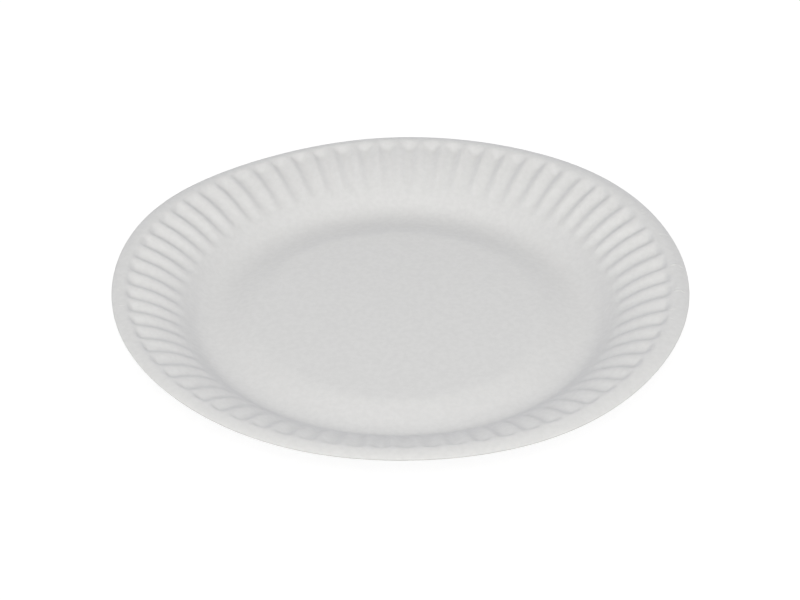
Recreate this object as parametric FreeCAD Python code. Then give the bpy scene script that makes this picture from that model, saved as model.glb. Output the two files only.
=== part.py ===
"""Round paper plate, pressed from one disc of uncoated white paperboard.

The plate is a single sheet of even thickness. A raised flat centre falls to a
low ring, which the plate rests on. A tight bend leads from there into the
sloping wall. The wall is gathered into narrow pressed flutes, which fade into
the wall below and end in steep troughs under a plain, turned-down lip.

The plate is the same in every pitch, from one ridge between two flutes to the
next. Within a pitch each face runs straight across.

Sizes are millimetres. Z points up. The plate stands on the plane z = 0, with
its axis on the Z axis.
"""

import FreeCAD
import Part
import math
import os

from FreeCAD import Vector

# Board
board_thickness = 0.45

# Section of the upper face, from the rim inwards: runs are measured along the
# plate's radius, and angles are in degrees above it
rim_radius = 115.0
lip_run = 5.4
lip_angle = -11.0
crest_bend_radius = 10.8
upper_wall_angle = 19.3
wall_run = 5.0
wall_angle = 42.6
wall_bend_radius = 11.6
foot_inner_radius = 73.2
foot_width = 1.6
foot_bend_radius = 14.0
fall_angle = -13.3
shoulder_bend_radius = 16.0
centre_rise = 3.7

# Flutes
flute_count = 70
flute_start_run = 3.4
flute_depth_inner = 1.15
flute_depth_outer = 1.65
flute_run_in = 5.6
flute_run_out = 3.4
flute_steps = 3
flank_angle = 42.0
ridge_width = 1.5
first_ridge_angle = 2.67

CENTRE = Vector(0, 0, 0)
UP = Vector(0, 0, 1)
SEW_TOLERANCE = 0.001
ANGLE_TOLERANCE = 1e-6


def heading(degrees):
    """Unit direction in the section plane, at an angle above the radius."""
    a = math.radians(degrees)
    return Vector(math.cos(a), 0, math.sin(a))


def turned(point, radians):
    """Point carried round the plate's axis."""
    c = math.cos(radians)
    s = math.sin(radians)
    return Vector(c * point.x - s * point.y, s * point.x + c * point.y, point.z)


def flat(corners):
    """Flat face with straight edges."""
    return Part.Face(Part.makePolygon(corners + corners[:1]))


class Stretch:
    """One stretch of the section: a straight line, or a bend of even radius."""

    def __init__(self, start, angle_in, end, angle_out):
        self.start = start
        self.end = end
        self.angle_in = angle_in
        self.angle_out = angle_out

    def is_straight(self):
        """Whether the stretch keeps one angle."""
        return abs(self.angle_out - self.angle_in) < ANGLE_TOLERANCE

    def is_level(self):
        """Whether the stretch is straight and lies flat."""
        return self.is_straight() and abs(self.angle_in) < ANGLE_TOLERANCE

    def angle_at(self, radius):
        """Climb at a radius: along a bend, its sine grows evenly."""
        share = (radius - self.start.x) / (self.end.x - self.start.x)
        s_in = math.sin(math.radians(self.angle_in))
        s_out = math.sin(math.radians(self.angle_out))
        return math.degrees(math.asin(s_in + share * (s_out - s_in)))

    def point_at(self, radius):
        """Point of the stretch at a radius."""
        run = radius - self.start.x
        if self.is_straight():
            return self.start + Vector(run, 0, run * math.tan(math.radians(self.angle_in)))
        a_in = math.radians(self.angle_in)
        a_out = math.radians(self.angle_out)
        bend = (self.end.x - self.start.x) / (math.sin(a_out) - math.sin(a_in))
        rise = bend * (math.cos(a_in) - math.cos(math.radians(self.angle_at(radius))))
        return self.start + Vector(run, 0, rise)

    def between(self, inner, outer):
        """The part of the stretch that lies between two radii."""
        inner = max(inner, self.start.x)
        outer = min(outer, self.end.x)
        start = self.point_at(inner)
        end = self.point_at(outer)
        return Stretch(start, self.angle_at(inner), end, self.angle_at(outer))

    def moved(self, shift):
        """The same stretch in another place."""
        return Stretch(self.start + shift, self.angle_in, self.end + shift, self.angle_out)

    def lowered(self):
        """The same stretch of the underside, one board thickness below."""
        start = self.start - heading(self.angle_in + 90) * board_thickness
        end = self.end - heading(self.angle_out + 90) * board_thickness
        return Stretch(start, self.angle_in, end, self.angle_out)

    def face(self, turn):
        """The stretch carried straight across one pitch of the plate."""
        if self.is_straight():
            corners = [turned(self.start, -turn), turned(self.end, -turn)]
            corners += [turned(self.end, turn), turned(self.start, turn)]
            return flat(corners)
        middle = self.point_at((self.start.x + self.end.x) / 2)
        edges = []
        for side in (-turn, turn):
            arc = Part.Arc(turned(self.start, side), turned(middle, side), turned(self.end, side))
            edges.append(arc.toShape())
        return Part.makeRuledSurface(edges[0], edges[1])


def line_run(start, angle, run):
    """Straight stretch with a given run."""
    end = start + Vector(run, 0, run * math.tan(math.radians(angle)))
    return Stretch(start, angle, end, angle)


def bend(start, angle_in, angle_out, bend_radius):
    """Bend that turns from one angle to another."""
    side = 1 if angle_out > angle_in else -1
    middle = start + heading(angle_in + 90) * bend_radius * side
    end = middle - heading(angle_out + 90) * bend_radius * side
    return Stretch(start, angle_in, end, angle_out)


def raised_part():
    """Shoulder, fall and foot bend, between the raised centre and the foot."""
    start = Vector(0, 0, board_thickness + centre_rise)
    shoulder = bend(start, 0, fall_angle, shoulder_bend_radius)
    foot_bend = bend(start, fall_angle, 0, foot_bend_radius)
    drop_of_bends = 2 * start.z - shoulder.end.z - foot_bend.end.z
    fall_run = (drop_of_bends - centre_rise) / math.tan(math.radians(fall_angle))
    fall = line_run(shoulder.end, fall_angle, fall_run)
    foot_bend = bend(fall.end, fall_angle, 0, foot_bend_radius)
    shift = Vector(foot_inner_radius - foot_bend.end.x, 0, 0)
    return [stretch.moved(shift) for stretch in (shoulder, fall, foot_bend)]


def upper_section():
    """Stretches of the upper face's section, from the centre out to the rim."""
    inner = raised_part()
    foot = line_run(inner[-1].end, 0, foot_width)
    wall_bend = bend(foot.end, 0, wall_angle, wall_bend_radius)
    wall = line_run(wall_bend.end, wall_angle, wall_run)
    sines = [math.sin(math.radians(a)) for a in (wall_angle, upper_wall_angle, lip_angle)]
    crest_run = crest_bend_radius * (sines[1] - sines[2])
    upper_wall_run = rim_radius - lip_run - crest_run - wall.end.x
    upper_wall_bend_radius = upper_wall_run / (sines[0] - sines[1])
    upper_wall = bend(wall.end, wall_angle, upper_wall_angle, upper_wall_bend_radius)
    crest = bend(upper_wall.end, upper_wall_angle, lip_angle, crest_bend_radius)
    lip = line_run(crest.end, lip_angle, lip_run)
    return inner + [foot, wall_bend, wall, upper_wall, crest, lip]


def stretch_at(section, radius):
    """The stretch of a section that a radius falls on."""
    for stretch in section:
        if radius <= stretch.end.x:
            return stretch
    return section[-1]


class Side:
    """One side of the plate: the upper face, or the underside below it.

    Folds run along the wall. Between them lie a flute's floor, its two flanks
    and the ridge that parts it from the next flute.
    """

    def __init__(self, section, radii, depths, fold_shift):
        self.section = section
        self.radii = radii
        self.depths = depths
        self.fold_shift = fold_shift
        self.turn = math.pi / flute_count

    def ring_point(self, i):
        """Point of a row, on the radius between two flutes."""
        radius = self.radii[i]
        return stretch_at(self.section, radius).point_at(radius)

    def folds(self, i):
        """The four folds where they cross a row, and the first of the next pitch."""
        on_ridge = self.ring_point(i)
        half_ridge = ridge_width / 2 - self.fold_shift
        edge_turn = self.turn - math.asin(half_ridge / on_ridge.x)
        right = turned(on_ridge, -edge_turn)
        left = turned(on_ridge, edge_turn)
        flank_run = self.depths[i] / math.tan(math.radians(flank_angle))
        to_floor = Vector(0, flank_run, -self.depths[i])
        back_to_floor = Vector(0, -flank_run, -self.depths[i])
        return [right, right + to_floor, left + back_to_floor, left, turned(right, 2 * self.turn)]

    def end_faces(self, end, row):
        """Faces that close a pitch's folds on the plain part of the plate."""
        first = turned(end, -self.turn)
        last = turned(end, self.turn)
        right, floor_right, floor_left, left, following = row
        return [
            flat([first, right, floor_right]),
            flat([first, floor_right, floor_left, last]),
            flat([last, floor_left, left]),
            flat([last, left, following]),
        ]

    def flute_faces(self):
        """Faces of one flute and of the ridge beside it."""
        rows = [self.folds(i) for i in range(1, len(self.radii) - 1)]
        faces = self.end_faces(self.ring_point(0), rows[0])
        faces += self.end_faces(self.ring_point(-1), rows[-1])
        for inner, outer in zip(rows[:-1], rows[1:]):
            for i in range(len(inner) - 1):
                faces.append(flat([inner[i], outer[i], outer[i + 1], inner[i + 1]]))
        return faces

    def lip_face(self):
        """Flat face of the lip in one pitch, cut round at the rim."""
        start = self.ring_point(-1)
        rim = self.section[-1].end
        middle = self.section[-1].point_at(rim.x / math.cos(self.turn))
        ends = [turned(start, -self.turn), turned(start, self.turn)]
        rim_ends = [turned(rim, self.turn), turned(rim, -self.turn)]
        edges = [
            Part.makeLine(ends[0], ends[1]),
            Part.makeLine(ends[1], rim_ends[0]),
            Part.Arc(rim_ends[0], Vector(rim.x, 0, middle.z), rim_ends[1]).toShape(),
            Part.makeLine(rim_ends[1], ends[0]),
        ]
        return Part.Face(Part.Wire(edges))

    def pitch_faces(self):
        """Faces of one pitch, from the shoulder to the rim, without the foot."""
        faces = [self.lip_face()] + self.flute_faces()
        for stretch in self.section:
            if stretch.start.x < self.radii[0] and not stretch.is_level():
                faces.append(stretch.between(stretch.start.x, self.radii[0]).face(self.turn))
        return faces

    def disc(self, corner):
        """Flat face inside one ring of the pitches' corners."""
        return flat([turned(corner, (2 * i - 1) * self.turn) for i in range(flute_count)])

    def level_faces(self):
        """Flat centre of the plate, and its flat foot."""
        faces = [self.disc(self.section[0].start)]
        for stretch in self.section:
            if stretch.is_level():
                faces += self.disc(stretch.end).cut(self.disc(stretch.start)).Faces
        return faces


def flute_rows(section):
    """Radii and depths of the rows that a flute is set out in."""
    start = section[-4].start.x + flute_start_run
    end = section[-1].start.x
    inner = start + flute_run_in
    outer = end - flute_run_out
    radii = [start]
    depths = [0.0]
    for i in range(flute_steps + 1):
        share = i / flute_steps
        radii.append(inner + share * (outer - inner))
        depths.append(flute_depth_inner + share * (flute_depth_outer - flute_depth_inner))
    return radii + [end], depths + [0.0]


def around(faces):
    """Copies of one pitch's faces, set round the whole plate."""
    copies = []
    for i in range(flute_count):
        for face in faces:
            copy = face.copy()
            copy.rotate(CENTRE, UP, 360 * i / flute_count)
            copies.append(copy)
    return copies


def make_plate():
    """The pressed plate as one closed solid."""
    section = upper_section()
    radii, depths = flute_rows(section)
    upper = Side(section, radii, depths, 0.0)
    climbs = [math.radians(stretch_at(section, r).angle_at(r)) for r in radii]
    lower_radii = [r + board_thickness * math.sin(a) for r, a in zip(radii, climbs)]
    fold_shift = board_thickness * math.tan(math.radians(flank_angle) / 2)
    lower = Side([s.lowered() for s in section], lower_radii, depths, fold_shift)
    cut_edge = Part.makeRuledSurface(upper.lip_face().Edges[2], lower.lip_face().Edges[2])
    pitch = upper.pitch_faces() + lower.pitch_faces() + [cut_edge]
    skin = Part.makeCompound(upper.level_faces() + lower.level_faces() + around(pitch))
    skin.sewShape(SEW_TOLERANCE)
    plate = Part.makeSolid(skin.Shells[0])
    if plate.Volume < 0:
        plate.reverse()
    plate.rotate(CENTRE, UP, first_ridge_angle + math.degrees(upper.turn))
    return plate


def main():
    """Build the plate and write it to its file."""
    os.makedirs("parts", exist_ok=True)
    plate = make_plate()
    plate.exportStep("parts/plate.step")
    print("plate", plate.isValid(), plate.ShapeType, len(plate.Faces), round(plate.Volume, 1))


main()
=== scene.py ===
"""A white paper plate with a fluted wall, as a finished scene.

The plate is pressed from one disc of uncoated paperboard. It is one closed
surface here: the upper face, the cut edge at the rim and the underside, which
lies one board thickness below the upper face everywhere. The upper face is a
height over the plate's plan, worked out from the plate's section, its flutes,
the slow warp of its rim and a few small creases.
"""

from __future__ import annotations

import logging
import math
from dataclasses import dataclass, field
from enum import Enum

import bpy
import numpy as np
from mathutils import Matrix, Vector


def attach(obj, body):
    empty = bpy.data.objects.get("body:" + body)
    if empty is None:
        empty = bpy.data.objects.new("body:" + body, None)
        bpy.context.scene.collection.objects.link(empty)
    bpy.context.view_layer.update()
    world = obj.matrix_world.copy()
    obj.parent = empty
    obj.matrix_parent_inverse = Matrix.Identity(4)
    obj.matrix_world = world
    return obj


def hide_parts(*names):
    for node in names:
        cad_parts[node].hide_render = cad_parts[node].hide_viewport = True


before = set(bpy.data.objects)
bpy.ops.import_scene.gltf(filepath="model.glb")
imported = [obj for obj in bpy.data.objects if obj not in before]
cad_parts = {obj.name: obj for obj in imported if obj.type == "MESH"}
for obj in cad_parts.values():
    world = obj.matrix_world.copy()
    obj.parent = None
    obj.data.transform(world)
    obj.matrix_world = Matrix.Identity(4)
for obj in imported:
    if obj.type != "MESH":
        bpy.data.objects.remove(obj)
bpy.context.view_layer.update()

log = logging.getLogger("paper_plate")

MM = 0.001
PICTURE_WIDTH = 800
NOISE_ROUGHNESS = 0.55
WRINKLE_FOOT_SHARE = 0.4
WRINKLE_FOOT_WIDTH = 1.6

# Sockets of Blender's mix node when it mixes colours, where names are not unique
MIX_FACTOR, MIX_FIRST_COLOUR, MIX_SECOND_COLOUR, MIX_RESULT = 0, 6, 7, 2


def linear(hex_colour: str) -> tuple[float, float, float, float]:
    """Turn an sRGB hex colour into linear values.

    Args:
        hex_colour: Six hex digits, with or without a leading #.

    Returns:
        Red, green and blue in linear light, and an alpha of 1.
    """
    digits = hex_colour.lstrip("#")
    values = [int(digits[i:i + 2], 16) / 255 for i in (0, 2, 4)]
    straight = [v / 12.92 if v <= 0.04045 else ((v + 0.055) / 1.055) ** 2.4 for v in values]
    return (*straight, 1.0)


def add_node(
    tree: bpy.types.NodeTree,
    kind: str,
    links: dict[str | int, bpy.types.NodeSocket] | None = None,
    values: dict[str | int, object] | None = None,
    **settings: object,
) -> bpy.types.Node:
    """Add one node with its settings, constants and incoming links.

    Args:
        tree: The node tree that gets the node.
        kind: The node's type name in Blender.
        links: Input name or number to the socket that feeds it.
        values: Input name or number to its constant.
        **settings: Properties of the node itself.

    Returns:
        The new node.
    """
    node = tree.nodes.new(kind)
    for name, setting in settings.items():
        setattr(node, name, setting)
    for key, value in (values or {}).items():
        node.inputs[key].default_value = value
    for key, socket in (links or {}).items():
        tree.links.new(socket, node.inputs[key])
    return node


def empty_material(name: str) -> tuple[bpy.types.Material, bpy.types.NodeTree]:
    """Make a material with no nodes in its tree.

    Args:
        name: What the material is.

    Returns:
        The material and its node tree.
    """
    material = bpy.data.materials.new(name)
    material.use_nodes = True
    material.node_tree.nodes.clear()
    return material, material.node_tree


@dataclass(frozen=True)
class Wrinkle:
    """A thin raised line where spare board folded.

    Its crest is finer than the skin's mesh, so the skin has only its low foot.
    It lies along the line between its ends, which are given as radius in
    millimetres and angle in degrees, and tapers to nothing at both.
    """

    start: tuple[float, float]
    end: tuple[float, float]
    height: float
    width: float = 1.0

    def relief(
        self, tree: bpy.types.NodeTree, place: bpy.types.NodeSocket
    ) -> bpy.types.NodeSocket:
        """Add the nodes that give the wrinkle's height.

        The wrinkle's own frame has its origin in the middle of the line and is
        scaled so that the outline of the wrinkle is a circle of radius 1. The
        height falls smoothly from the middle to that circle.

        Args:
            tree: The material's node tree.
            place: Where on the object the height is read.

        Returns:
            The height in millimetres.
        """
        ends = [
            Vector((r * math.cos(math.radians(a)), r * math.sin(math.radians(a)), 0.0))
            for r, a in (self.start, self.end)
        ]
        line = ends[1] - ends[0]
        own = add_node(
            tree,
            "ShaderNodeMapping",
            links={"Vector": place},
            values={
                "Location": (ends[0] + ends[1]) / 2 * MM,
                "Rotation": (0.0, 0.0, math.atan2(line.y, line.x)),
                "Scale": (line.length / 2 * MM, self.width / 2 * MM, 1.0),
            },
            vector_type="TEXTURE",
        )
        away = add_node(
            tree,
            "ShaderNodeVectorMath",
            links={0: own.outputs["Vector"]},
            operation="LENGTH",
        )
        height = add_node(
            tree,
            "ShaderNodeMapRange",
            links={"Value": away.outputs["Value"]},
            values={"From Min": 0.0, "From Max": 1.0, "To Min": self.height, "To Max": 0.0},
            interpolation_type="SMOOTHSTEP",
        )
        return height.outputs["Result"]


def pressing_wrinkles() -> tuple[Wrinkle, ...]:
    """List the plate's thin wrinkles.

    Returns:
        The wrinkles on the right side of the lip, those on its left side, and
        three faint ones below the flutes on the right.
    """
    return (
        Wrinkle((109.1, 15.7), (112.1, 15.5), height=0.12, width=1.2),
        Wrinkle((111.5, 15.7), (114.1, 15.0), height=0.1, width=1.2),
        Wrinkle((109.8, 25.3), (112.6, 25.6), height=0.1, width=1.1),
        Wrinkle((109.2, 24.7), (111.2, 23.8), height=0.11, width=1.1),
        Wrinkle((108.1, 3.6), (112.2, 4.2), height=0.2, width=1.1),
        Wrinkle((111.2, 4.2), (114.7, 3.1), height=0.13, width=1.2),
        Wrinkle((108.7, 355.0), (111.2, 355.7), height=0.09, width=1.1),
        Wrinkle((108.6, 353.9), (111.6, 354.7), height=0.15, width=1.2),
        Wrinkle((110.8, 354.7), (113.7, 354.2), height=0.13, width=1.2),
        Wrinkle((107.0, 347.2), (111.0, 347.8), height=0.09, width=1.2),
        Wrinkle((107.2, 344.6), (112.0, 343.9), height=0.07, width=1.1),
        Wrinkle((113.6, 184.2), (111.0, 184.8), height=0.07, width=1.2),
        Wrinkle((113.4, 189.8), (109.7, 190.4), height=0.11, width=1.1),
        Wrinkle((86.4, 23.0), (90.6, 23.5), height=0.06, width=1.3),
        Wrinkle((88.1, 28.3), (92.1, 29.0), height=0.05, width=1.3),
        Wrinkle((80.8, -1.9), (85.4, 1.4), height=0.04, width=1.3),
    )


@dataclass(frozen=True)
class PressedPaperboard:
    """Uncoated bleached paperboard, cut to a disc and pressed between warm dies.

    It is matt and slightly cloudy, because its fibres lie in loose clumps a
    millimetre or two across. The dies leave it smooth, with a fine tooth.
    """

    sheet_colour: str = "#DDDDDF"
    clump_colour: str = "#D9D9DB"
    roughness: float = 0.86
    ior: float = 1.5
    clump_size: float = 2.2
    clump_range: tuple[float, float] = (0.36, 0.64)
    fibre_size: float = 1.0
    tooth_height: float = 0.010
    # Painted highlight on the wrinkle crests, mixed with the whiter broken fibres of the fold: a
    # light colour that stands in for each crest's bright facet.
    crest_highlight_and_fold_colour: str = "#F1F1F1"
    full_crest_highlight_height: float = 0.2
    wrinkles: tuple[Wrinkle, ...] = field(default_factory=pressing_wrinkles)

    def material(self) -> bpy.types.Material:
        """Make the paperboard's material.

        Returns:
            A material whose colour follows the clumps of fibres and is whiter
            along each wrinkle's crest, partly as painted highlight for the crest's
            bright facet and partly for the whiter broken fibres of the fold, and
            whose bump is the tooth of single fibres and the thin wrinkles. A real
            fibre is a fiftieth of a millimetre thick, too fine to show, so the
            tooth is drawn at the size of a fibre's length.
        """
        material, tree = empty_material("pressed_uncoated_paperboard")
        place = add_node(tree, "ShaderNodeTexCoord").outputs["Object"]
        clumps = self.noise(tree, place, self.clump_size, detail=3.0)
        fibres = self.noise(tree, place, self.fibre_size, detail=2.0)
        colour = add_node(
            tree, "ShaderNodeValToRGB", links={"Fac": clumps}, label="clumps of fibres"
        )
        colour.color_ramp.elements[0].position = self.clump_range[0]
        colour.color_ramp.elements[0].color = linear(self.clump_colour)
        colour.color_ramp.elements[1].position = self.clump_range[1]
        colour.color_ramp.elements[1].color = linear(self.sheet_colour)
        folds = self.wrinkles[0].relief(tree, place)
        for wrinkle in self.wrinkles[1:]:
            folds = add_node(
                tree,
                "ShaderNodeMath",
                links={0: folds, 1: wrinkle.relief(tree, place)},
                operation="ADD",
            ).outputs[0]
        relief = add_node(
            tree,
            "ShaderNodeMath",
            links={0: fibres, 2: folds},
            values={1: self.tooth_height},
            operation="MULTIPLY_ADD",
            label="height in millimetres",
        )
        tooth = add_node(
            tree,
            "ShaderNodeBump",
            links={"Height": relief.outputs[0]},
            values={"Strength": 1.0, "Distance": MM},
        )
        # Painted highlight: the colour turns whiter with the wrinkles' height, partly for the
        # crests' bright facets and partly for the whiter fibres of the folds.
        crest_highlight_share = add_node(
            tree,
            "ShaderNodeMapRange",
            links={"Value": folds},
            values={"From Min": 0.0, "From Max": self.full_crest_highlight_height},
        )
        crest_highlighted = add_node(
            tree,
            "ShaderNodeMix",
            links={MIX_FACTOR: crest_highlight_share.outputs["Result"], MIX_FIRST_COLOUR: colour.outputs["Color"]},
            values={MIX_SECOND_COLOUR: linear(self.crest_highlight_and_fold_colour)},
            data_type="RGBA",
        )
        surface = add_node(
            tree,
            "ShaderNodeBsdfPrincipled",
            links={
                "Base Color": crest_highlighted.outputs[MIX_RESULT],
                "Normal": tooth.outputs["Normal"],
            },
            values={"Roughness": self.roughness, "IOR": self.ior, "Metallic": 0.0},
        )
        add_node(
            tree, "ShaderNodeOutputMaterial", links={"Surface": surface.outputs["BSDF"]}
        )
        return material

    @staticmethod
    def noise(
        tree: bpy.types.NodeTree, place: bpy.types.NodeSocket, size: float, detail: float
    ) -> bpy.types.NodeSocket:
        """Add a noise whose patches are of a given size.

        Args:
            tree: The material's node tree.
            place: Where on the object the pattern is read.
            size: Width of one light and one dark patch together, in millimetres.
            detail: Number of finer layers.

        Returns:
            The noise's value, from 0 to 1.
        """
        node = add_node(
            tree,
            "ShaderNodeTexNoise",
            links={"Vector": place},
            values={
                "Scale": 1 / (size * MM),
                "Detail": detail,
                "Roughness": NOISE_ROUGHNESS,
            },
        )
        return node.outputs["Fac"]


@dataclass(frozen=True)
class CutBoardEdge:
    """The board's edge where the disc was die-cut: torn fibre ends, no smooth face.

    The open ends of the fibres trap a little light, and the edge's colour is darkened further as
    painted shade for the thin dark line along the rim's edge.
    """

    # Painted shade in part: both greys are darker than the cut fibres alone, to draw the thin dark
    # line along the rim's edge.
    colour: str = "#C4C4C2"
    fleck_colour: str = "#B8B8B5"
    roughness: float = 0.95
    fleck_size: float = 0.9
    fleck_range: tuple[float, float] = (0.35, 0.65)

    def material(self) -> bpy.types.Material:
        """Make the cut edge's material.

        Returns:
            A matt material whose colour is flecked along the edge.
        """
        material, tree = empty_material("die_cut_edge_with_painted_shade")
        place = add_node(tree, "ShaderNodeTexCoord").outputs["Object"]
        flecks = PressedPaperboard.noise(tree, place, self.fleck_size, detail=2.0)
        # Painted shade in part: the flecked grey draws the thin dark line along the rim's edge.
        colour = add_node(tree, "ShaderNodeValToRGB", links={"Fac": flecks})
        colour.color_ramp.elements[0].position = self.fleck_range[0]
        colour.color_ramp.elements[0].color = linear(self.fleck_colour)
        colour.color_ramp.elements[1].position = self.fleck_range[1]
        colour.color_ramp.elements[1].color = linear(self.colour)
        surface = add_node(
            tree,
            "ShaderNodeBsdfPrincipled",
            links={"Base Color": colour.outputs["Color"]},
            values={"Roughness": self.roughness},
        )
        add_node(
            tree, "ShaderNodeOutputMaterial", links={"Surface": surface.outputs["BSDF"]}
        )
        return material


@dataclass(frozen=True)
class Section:
    """Section of the plate's upper face, in millimetres and degrees."""

    board: float = 0.45
    rim_radius: float = 115.0
    lip_run: float = 1.25
    lip_angle: float = -28.0
    crest_bend_radius: float = 8.26
    upper_wall_angle: float = 19.3
    upper_run: float = 3.2
    wall_run: float = 5.0
    wall_angle: float = 42.6
    wall_bend_radius: float = 11.6
    foot_inner_radius: float = 73.2
    foot_width: float = 1.6
    foot_bend_radius: float = 14.0
    fall_angle: float = -13.3
    shoulder_bend_radius: float = 16.0
    centre_rise: float = 3.0
    centre_dome_angle: float = -0.9
    step: float = 0.02
    reach: float = 1.5

    def knots(self) -> tuple[np.ndarray, np.ndarray]:
        """Radii at which the section changes, and the sine of its climb there.

        Along a bend of even radius the sine of the climb grows evenly with the
        plate's radius, and along a straight stretch it stays the same. So the
        whole section is a line from knot to knot.

        Returns:
            The knots' radii, and the sines of the climb at them.
        """
        fall, wall, upper, lip = (
            math.sin(math.radians(a))
            for a in (self.fall_angle, self.wall_angle, self.upper_wall_angle, self.lip_angle)
        )
        foot_start = self.foot_inner_radius
        foot_end = foot_start + self.foot_width
        fall_end = foot_start + self.foot_bend_radius * fall
        bends = self.shoulder_bend_radius + self.foot_bend_radius
        drop_of_bends = bends * (1 - math.sqrt(1 - fall * fall))
        tangent = -math.tan(math.radians(self.fall_angle))
        fall_start = fall_end - (self.centre_rise - drop_of_bends) / tangent
        centre = fall_start + self.shoulder_bend_radius * fall
        wall_start = foot_end + self.wall_bend_radius * wall
        lip_start = self.rim_radius - self.lip_run
        crest_start = lip_start - self.crest_bend_radius * (upper - lip)
        upper_start = crest_start - self.upper_run
        dome = math.sin(math.radians(self.centre_dome_angle))
        radii = [0.0, centre, fall_start, fall_end, foot_start, foot_end, wall_start]
        radii += [wall_start + self.wall_run, upper_start, crest_start, lip_start, self.rim_radius]
        sines = [0.0, dome, fall, fall, 0.0, 0.0, wall, wall, upper, upper, lip, lip]
        return np.array(radii), np.array(sines)

    def height(self, radius: np.ndarray) -> np.ndarray:
        """Height of the upper face above the resting plane.

        The height is the running sum of the climb's tangent over the radius,
        and it is one board thickness at the foot.

        Args:
            radius: Distances from the plate's axis, in millimetres.

        Returns:
            The heights, in millimetres.
        """
        radii, sines = self.knots()
        fine = np.arange(0.0, self.rim_radius + self.reach, self.step)
        sine = np.interp(fine, radii, sines)
        tangent = sine / np.sqrt(1 - sine * sine)
        rise = np.concatenate([[0.0], np.cumsum((tangent[1:] + tangent[:-1]) / 2) * self.step])
        rise += self.board - np.interp(self.foot_inner_radius, fine, rise)
        return np.interp(radius, fine, rise)


@dataclass(frozen=True)
class Flutes:
    """Narrow troughs pressed into the wall, in millimetres and degrees.

    The fade depths are a trough's depths at the fade radii.
    Each trough fades in from the smooth wall below, deepens outwards and ends
    in a steep rounded end under the lip. Rounded ridges part the troughs.
    """

    count: int = 70
    first_ridge: float = 2.35
    fade_radii: tuple[float, ...] = (
        86.6, 87.8, 89.3, 91.0, 93.2, 96.6, 101.2, 104.7, 106.3, 107.4, 108.4, 109.2
    )
    fade_depths: tuple[float, ...] = (
        0.0, 0.33, 0.76, 1.07, 1.30, 1.47, 1.72, 1.86, 1.84, 1.3, 0.35, 0.0
    )
    squareness: float = 0.05
    drift: tuple[tuple[float, float], ...] = (
        (-0.22, 0.61),
        (0.35, -0.02),
        (0.48, 0.21),
        (0.02, -0.07),
        (0.02, 0.19),
    )
    depth_lean: tuple[float, float] = (-0.02, 0.18)
    ridge_wander: float = 0.16
    depth_wander: float = 0.07
    end_wander: float = 0.35
    seed: int = 23

    def depth_along(self, radius: np.ndarray) -> np.ndarray:
        """Depth of a trough's floor below its ridges.

        The depths at the given radii are joined by a smooth curve: each stretch
        is a cubic whose slope at its ends is the mean slope of its neighbours.

        Args:
            radius: Distances from the plate's axis.

        Returns:
            The depths.
        """
        r = np.array(self.fade_radii)
        d = np.array(self.fade_depths)
        slope = np.gradient(d, r)
        slope[0] = slope[-1] = 0.0
        x = np.clip(radius, r[0], r[-1])
        i = np.clip(np.searchsorted(r, x) - 1, 0, len(r) - 2)
        run = r[i + 1] - r[i]
        t = (x - r[i]) / run
        near = (2 * t**3 - 3 * t**2 + 1) * d[i] + (t**3 - 2 * t**2 + t) * run * slope[i]
        far = (3 * t**2 - 2 * t**3) * d[i + 1] + (t**3 - t**2) * run * slope[i + 1]
        return np.maximum(near + far, 0.0)

    def drop(self, radius: np.ndarray, angle: np.ndarray) -> np.ndarray:
        """How far the flutes lower the wall.

        Across the flutes the drop is a wave: nothing on a ridge, the full depth
        in the middle of a trough, with a slightly flattened floor. The ridges
        leave their even spacing slowly round the plate (the drift: a cosine and
        a sine, in degrees, for one turn, two turns and so on) and wander a
        little from one to the next. The troughs are deeper towards one side of
        the plate, and each has its own depth and its own outer end.

        Args:
            radius: Distances from the plate's axis.
            angle: Angles round the axis, in degrees from 0 to 360.

        Returns:
            The drops, never below 0.
        """
        chance = np.random.default_rng(self.seed)
        pitch = 360 / self.count
        turn = np.radians(angle)
        slow = sum(
            even * np.cos(k * turn) + odd * np.sin(k * turn)
            for k, (even, odd) in enumerate(self.drift, start=1)
        )
        number = (angle - self.first_ridge - slow) / pitch
        wander = chance.uniform(-self.ridge_wander, self.ridge_wander, self.count)
        number = number + self.blended(wander, number) / pitch
        depth = 1 + self.blended(chance.uniform(-1, 1, self.count) * self.depth_wander, number)
        depth = depth + self.depth_lean[0] * np.cos(turn) + self.depth_lean[1] * np.sin(turn)
        end = self.blended(chance.uniform(-1, 1, self.count) * self.end_wander, number)
        wave = 2 * np.pi * (number - 0.5)
        across = (1 + np.cos(wave)) / 2 + self.squareness * (1 - np.cos(2 * wave)) / 2
        return self.depth_along(radius + end) * depth * across

    def blended(self, values: np.ndarray, number: np.ndarray) -> np.ndarray:
        """Blend one value per flute smoothly from each flute to the next.

        Args:
            values: One value for each flute.
            number: Flute number, with its fraction, at each point.

        Returns:
            The value at each point, weighted by a cosine between neighbours.
        """
        whole = np.floor(number).astype(int)
        share = (1 - np.cos(np.pi * (number - whole))) / 2
        here = values[whole % self.count]
        there = values[(whole + 1) % self.count]
        return here + (there - here) * share


class CreaseKind(Enum):
    """Which way a crease stands from the upper face."""

    RAISED = 1
    SUNK = -1


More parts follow.
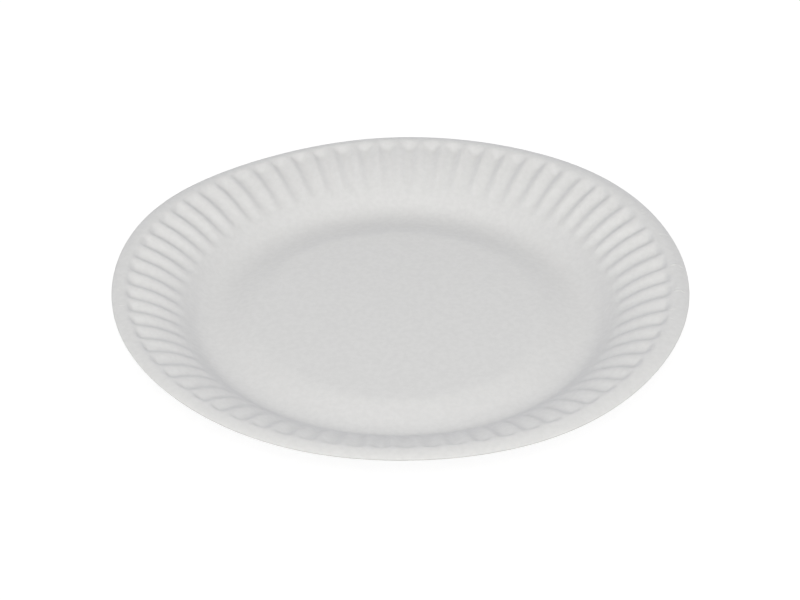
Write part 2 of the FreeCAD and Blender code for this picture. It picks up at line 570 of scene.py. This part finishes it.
@dataclass(frozen=True)
class Crease:
    """A small soft fold that runs straight from one place to another.

    Its ends are given as radius in millimetres and angle in degrees.
    """

    start: tuple[float, float]
    end: tuple[float, float]
    height: float
    width: float
    kind: CreaseKind = CreaseKind.RAISED

    def rise(self, x: np.ndarray, y: np.ndarray) -> np.ndarray:
        """How far the crease raises the upper face.

        Across the fold the rise is a bell curve, and along it the rise fades
        over the fold's own width past both ends.

        Args:
            x: Distances to the right of the axis, in millimetres.
            y: Distances behind the axis, in millimetres.

        Returns:
            The rise at each place, negative for a sunk crease.
        """
        ends = [
            np.array([r * math.cos(math.radians(a)), r * math.sin(math.radians(a))])
            for r, a in (self.start, self.end)
        ]
        line = ends[1] - ends[0]
        length = float(np.hypot(*line))
        line = line / length
        along = (x - ends[0][0]) * line[0] + (y - ends[0][1]) * line[1]
        across = (y - ends[0][1]) * line[0] - (x - ends[0][0]) * line[1]
        past = np.maximum(np.maximum(-along, along - length), 0.0)
        half = self.width / 2
        return self.kind.value * self.height * np.exp(-(across / half) ** 2 - (past / half) ** 2)


@dataclass(frozen=True)
class RimWarp:
    """Slow warp of the rim, which handling and stacking leave in a paper plate.

    Each pair holds the cosine and sine height, in millimetres, of a wave that
    goes round the rim once, twice and so on up to six times. The first wave also
    makes up for the tilt that an off-centre pressing gives the rim.
    """

    waves: tuple[tuple[float, float], ...] = (
        (0.57, 0.34),
        (1.32, 0.70),
        (-0.36, 0.51),
        (0.11, -0.31),
        (-0.01, 0.04),
        (-0.27, -0.22),
    )
    still_radius: float = 80.0
    rim_radius: float = 115.0
    growth: float = 1.5

    def rise(self, radius: np.ndarray, angle: np.ndarray) -> np.ndarray:
        """How far the warp raises each point.

        The rise is the sum of the waves, and it grows from nothing at the still
        radius to its whole height at the rim, by a power of the distance.

        Args:
            radius: Distances from the plate's axis, in millimetres.
            angle: Angles round the axis, in radians.

        Returns:
            The rise, in millimetres.
        """
        total = np.zeros_like(angle)
        for turns, (even, odd) in enumerate(self.waves, start=1):
            total = total + even * np.cos(turns * angle) + odd * np.sin(turns * angle)
        share = np.clip((radius - self.still_radius) / (self.rim_radius - self.still_radius), 0, 1)
        return total * share**self.growth


def handling_creases() -> tuple[Crease, ...]:
    """List the folds that the skin itself has.

    Returns:
        The second bends of two flutes, and the low foot of every wrinkle.
    """
    flute_folds = (
        Crease((97.0, 22.9), (107.2, 21.5), height=0.55, width=3.0),
        Crease((98.0, 204.4), (110.0, 203.0), height=0.30, width=2.4, kind=CreaseKind.SUNK),
    )
    wrinkle_feet = tuple(
        Crease(w.start, w.end, height=WRINKLE_FOOT_SHARE * w.height, width=WRINKLE_FOOT_WIDTH)
        for w in pressing_wrinkles()
    )
    return flute_folds + wrinkle_feet


@dataclass
class PaperPlate:
    """The plate: one sheet of board with its upper face, cut edge and underside.

    The press offset is where the pressed form's centre lies on the disc, in
    millimetres to the right and back: the disc lay a little off centre in the die.
    """

    section: Section = field(default_factory=Section)
    flutes: Flutes = field(default_factory=Flutes)
    warp: RimWarp = field(default_factory=RimWarp)
    creases: tuple[Crease, ...] = field(default_factory=handling_creases)
    board_finish: PressedPaperboard = field(default_factory=PressedPaperboard)
    edge_finish: CutBoardEdge = field(default_factory=CutBoardEdge)
    press_offset: tuple[float, float] = (-0.8, -0.6)
    columns_per_flute: int = 14
    edge_rounding: float = 0.12

    def rings(self) -> np.ndarray:
        """Radii of the mesh's rings, close together where the face bends most.

        Each stretch has a first radius, a last one and a step between rings.

        Returns:
            The radii in millimetres, the last one at the rim.
        """
        stretches = (
            (9.0, 45.0, 9.0),
            (50.0, 62.0, 2.0),
            (65.0, 71.0, 3.0),
            (73.2, 74.8, 1.6),
            (76.2, 84.6, 1.4),
            (86.2, 102.0, 1.58),
            (103.2, 111.2, 0.8),
            (112.4, 114.4, 1.0),
        )
        parts = [np.arange(a, b + step / 2, step) for a, b, step in stretches]
        return np.concatenate(parts + [np.array([self.section.rim_radius])])

    def upper_face(self, radius: np.ndarray, angle: np.ndarray) -> np.ndarray:
        """Height of the upper face over the plan.

        It is the section's height, less the drop of the flutes, plus the warp of
        the rim and the rise of each crease.

        Args:
            radius: Distances from the plate's axis, in millimetres.
            angle: Angles round the axis, in radians.

        Returns:
            The heights, in millimetres.
        """
        x = radius * np.cos(angle)
        y = radius * np.sin(angle)
        right, back = x - self.press_offset[0], y - self.press_offset[1]
        pressed_radius = np.hypot(right, back)
        pressed_angle = np.degrees(np.arctan2(back, right)) % 360
        height = self.section.height(pressed_radius)
        height = height - self.flutes.drop(pressed_radius, pressed_angle)
        height = height + self.warp.rise(radius, angle)
        for crease in self.creases:
            height = height + crease.rise(x, y)
        return height

    def outward(self, radius: np.ndarray, angle: np.ndarray) -> np.ndarray:
        """Unit normals of the upper face.

        The normal is the cross product of the face's two slopes, which are
        taken over a twentieth of a millimetre along and across the radius.

        Args:
            radius: Distances from the plate's axis, in millimetres.
            angle: Angles round the axis, in radians.

        Returns:
            An array of the same shape with a last axis of x, y and z.
        """
        reach = 0.05
        turn = reach / radius
        along = self.upper_face(radius + reach, angle) - self.upper_face(radius - reach, angle)
        across = self.upper_face(radius, angle + turn) - self.upper_face(radius, angle - turn)
        out = -along / (2 * reach)
        side = -across / (2 * reach)
        x = out * np.cos(angle) - side * np.sin(angle)
        y = out * np.sin(angle) + side * np.cos(angle)
        normal = np.stack([x, y, np.ones_like(x)], axis=-1)
        return normal / np.linalg.norm(normal, axis=-1, keepdims=True)

    def skin(self) -> tuple[np.ndarray, int]:
        """Points of the closed skin, ring by ring.

        The rings go out over the upper face, down the cut edge and back in
        below. The edge's corners are rounded: the last ring of each face is
        drawn in a little, and the edge's two rings stand out to the full radius.

        Returns:
            Points in millimetres as an array of ring, column and x, y, z, and
            the number of rings on the upper face.
        """
        columns = self.flutes.count * self.columns_per_flute
        turn = np.arange(columns) / columns * 2 * np.pi
        radius, angle = np.meshgrid(self.rings(), turn, indexing="ij")
        top = np.stack(
            [radius * np.cos(angle), radius * np.sin(angle), self.upper_face(radius, angle)],
            axis=-1,
        )
        normal = self.outward(radius, angle)
        below = top - normal * self.section.board
        away = np.stack([np.cos(turn), np.sin(turn), np.zeros_like(turn)], axis=-1)
        inset = self.edge_rounding * away
        edge_top = top[-1] - normal[-1] * self.edge_rounding
        edge_low = below[-1] + normal[-1] * self.edge_rounding
        top[-1] -= inset
        below[-1] -= inset
        rings = np.concatenate([top, edge_top[None], edge_low[None], below[::-1]])
        return rings, len(top)

    def mesh(self) -> bpy.types.Mesh:
        """Make the plate's mesh: a grid of quads closed by a fan at each pole.

        Returns:
            A closed mesh in metres, whose faces at the cut edge take the second
            material.
        """
        rings, upper_count = self.skin()
        ring_count, columns = rings.shape[:2]
        pole_height = float(self.section.height(np.array([0.0]))[0])
        poles = np.array([[0, 0, pole_height], [0, 0, pole_height - self.section.board]])
        points = np.concatenate([rings.reshape(-1, 3), poles]) * MM
        grid = np.arange(ring_count * columns).reshape(ring_count, columns)
        ahead = np.roll(grid, -1, axis=1)
        quads = np.stack([grid[:-1], grid[1:], ahead[1:], ahead[:-1]], axis=-1).reshape(-1, 4)
        top_pole, low_pole = len(points) - 2, len(points) - 1
        upper_fan = np.stack([np.full(columns, top_pole), grid[0], ahead[0]], axis=-1)
        lower_fan = np.stack([np.full(columns, low_pole), ahead[-1], grid[-1]], axis=-1)
        mesh = bpy.data.meshes.new("plate_skin")
        mesh.from_pydata(
            points.tolist(), [], quads.tolist() + upper_fan.tolist() + lower_fan.tolist()
        )
        slots = np.zeros(len(mesh.polygons), dtype=np.int32)
        slots[(upper_count - 1) * columns:(upper_count + 2) * columns] = 1
        mesh.polygons.foreach_set("material_index", slots)
        mesh.polygons.foreach_set("use_smooth", np.ones(len(mesh.polygons), dtype=bool))
        mesh.update()
        return mesh

    def build(self) -> bpy.types.Object:
        """Make the plate, dress it and put it in the CAD plate's place.

        Returns:
            The finished plate.
        """
        plate = bpy.data.objects.new("paper_plate", self.mesh())
        bpy.context.scene.collection.objects.link(plate)
        plate.data.materials.append(self.board_finish.material())
        plate.data.materials.append(self.edge_finish.material())
        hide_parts("plate")
        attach(plate, "root")
        log.info("plate: %d points, %d faces", len(plate.data.vertices), len(plate.data.polygons))
        return plate


@dataclass(frozen=True)
class SoftLamp:
    """A large round soft lamp that faces the plate from a given side.

    Bearings are in degrees: 0 is the plate's right side and 90 is behind it.
    """

    name: str
    bearing: float
    elevation: float
    light_at_plate: float
    colour: str = "#F8FAFF"
    distance: float = 2.0
    size: float = 1.45

    def build(self) -> bpy.types.Object:
        """Hang the lamp.

        Its power is the light it gives at the plate, in watts a square metre,
        times pi and the distance squared.

        Returns:
            The lamp.
        """
        turn, rise = math.radians(self.bearing), math.radians(self.elevation)
        level = math.cos(rise)
        away = Vector((level * math.cos(turn), level * math.sin(turn), math.sin(rise)))
        light = bpy.data.lights.new(self.name, "AREA")
        light.shape = "DISK"
        light.size = self.size
        light.color = linear(self.colour)[:3]
        light.energy = self.light_at_plate * math.pi * self.distance**2
        lamp = bpy.data.objects.new(self.name, light)
        lamp.location = away * self.distance
        lamp.rotation_euler = away.to_track_quat("Z", "Y").to_euler()
        lamp.visible_camera = False
        bpy.context.scene.collection.objects.link(lamp)
        log.info("%s: %.1f W at %.1f m", self.name, light.energy, self.distance)
        return lamp


def studio_lamps() -> tuple[SoftLamp, ...]:
    """The lamps: a high one on the viewer's side and low ones on the other sides."""
    return (
        SoftLamp(
            "high_front_lamp", bearing=270.0, elevation=50.0, light_at_plate=2.62, colour="#FFFEF8"
        ),
        SoftLamp("low_back_lamp", bearing=90.0, elevation=18.0, light_at_plate=0.7),
        SoftLamp("low_right_lamp", bearing=0.0, elevation=18.0, light_at_plate=0.38),
        SoftLamp("low_left_lamp", bearing=180.0, elevation=18.0, light_at_plate=0.4),
    )


@dataclass(frozen=True)
class Studio:
    """Pale floor and soft light from an even white surround and four lamps."""

    lamps: tuple[SoftLamp, ...] = field(default_factory=studio_lamps)
    floor_reach: float = 6.0
    floor_colour: str = "#F2F2F2"
    surround_strength: float = 0.2
    shade_share: float = 0.2
    shade_base: float = 0.88

    @staticmethod
    def seen_directly(tree: bpy.types.NodeTree) -> bpy.types.NodeSocket:
        """Add a switch for what the eye sees straight, mirrored or through glass.

        Args:
            tree: The node tree that gets the switch.

        Returns:
            A value that is 1 for such rays and 0 for light on its way to a surface.
        """
        path = add_node(tree, "ShaderNodeLightPath")
        pair = add_node(
            tree,
            "ShaderNodeMath",
            links={0: path.outputs["Is Camera Ray"], 1: path.outputs["Is Glossy Ray"]},
            operation="MAXIMUM",
        )
        every = add_node(
            tree,
            "ShaderNodeMath",
            links={0: pair.outputs[0], 1: path.outputs["Is Transmission Ray"]},
            operation="MAXIMUM",
        )
        return every.outputs[0]

    def surround(self) -> None:
        """Light the scene evenly from a surround that looks plain white."""
        world = bpy.data.worlds.new("white_surround")
        world.use_nodes = True
        tree = world.node_tree
        tree.nodes.clear()
        strength = add_node(
            tree,
            "ShaderNodeMix",
            links={"Factor": self.seen_directly(tree)},
            values={"A": self.surround_strength, "B": 1.0},
            data_type="FLOAT",
        )
        light = add_node(
            tree,
            "ShaderNodeBackground",
            links={"Strength": strength.outputs[0]},
            values={"Color": (1.0, 1.0, 1.0, 1.0)},
        )
        add_node(tree, "ShaderNodeOutputWorld", links={"Surface": light.outputs["Background"]})
        bpy.context.scene.world = world
        log.info("surround: even white, strength %.2f", self.surround_strength)

    def floor(self) -> bpy.types.Object:
        """Lay the floor, which looks white and still takes the plate's faint shadow.

        Returns:
            The floor, marked as part of the stage.
        """
        reach = self.floor_reach
        corners = [(-reach, -reach, 0), (reach, -reach, 0), (reach, reach, 0), (-reach, reach, 0)]
        mesh = bpy.data.meshes.new("floor")
        mesh.from_pydata(corners, [], [(0, 1, 2, 3)])
        material, tree = empty_material("matt_white_studio_floor")
        matt = add_node(
            tree, "ShaderNodeBsdfDiffuse", values={"Color": linear(self.floor_colour)}
        )
        shade = (self.shade_share,) * 3 + (1.0,)
        shaded = add_node(tree, "ShaderNodeBsdfDiffuse", values={"Color": shade})
        white = add_node(
            tree,
            "ShaderNodeEmission",
            values={"Color": (1.0, 1.0, 1.0, 1.0), "Strength": self.shade_base},
        )
        bright = add_node(
            tree,
            "ShaderNodeAddShader",
            links={0: shaded.outputs["BSDF"], 1: white.outputs["Emission"]},
        )
        both = add_node(
            tree,
            "ShaderNodeMixShader",
            links={0: self.seen_directly(tree), 1: matt.outputs["BSDF"], 2: bright.outputs[0]},
        )
        add_node(tree, "ShaderNodeOutputMaterial", links={"Surface": both.outputs[0]})
        floor = bpy.data.objects.new("floor", mesh)
        floor.data.materials.append(material)
        bpy.context.scene.collection.objects.link(floor)
        log.info("floor: %.0f m square", 2 * reach)
        return floor

    def build(self) -> None:
        """Set up the surround, the floor and the lamps."""
        self.surround()
        self.floor()
        for lamp in self.lamps:
            lamp.build()


@dataclass(frozen=True)
class PhotoCamera:
    """The camera, as the photograph's perspective gives it. Distances are in millimetres."""

    distance: float = 979.8
    elevation: float = 34.45
    roll: float = -0.11
    focal_pixels: float = 2478.5
    target: tuple[float, float, float] = (-0.2, -13.5, 18.0)
    sensor_width: float = 36.0

    def build(self) -> bpy.types.Object:
        """Place the camera in front of the plate, looking down at its target.

        Returns:
            The scene's camera.
        """
        rise = math.radians(self.elevation)
        back = Vector((0, -math.cos(rise), math.sin(rise)))
        up = Vector((0, math.sin(rise), math.cos(rise)))
        upright = Matrix((Vector((1, 0, 0)), up, back)).transposed().to_4x4()
        lens = bpy.data.cameras.new("photo_camera")
        lens.sensor_width = self.sensor_width
        lens.lens = self.focal_pixels / PICTURE_WIDTH * self.sensor_width
        lens.clip_start = 0.01
        camera = bpy.data.objects.new("photo_camera", lens)
        place = (Vector(self.target) + back * self.distance) * MM
        turn = Matrix.Rotation(math.radians(self.roll), 4, "Z")
        camera.matrix_world = Matrix.Translation(place) @ upright @ turn
        bpy.context.scene.collection.objects.link(camera)
        bpy.context.scene.camera = camera
        log.info("camera: %.0f mm lens", lens.lens)
        return camera


def main() -> None:
    """Build the plate, the studio and the camera."""
    logging.basicConfig(level=logging.INFO, format="%(name)s %(message)s")
    bpy.context.scene.view_settings.view_transform = "Standard"
    PaperPlate().build()
    Studio().build()
    PhotoCamera().build()
    bpy.context.view_layer.update()


if __name__ == "__main__":
    main()
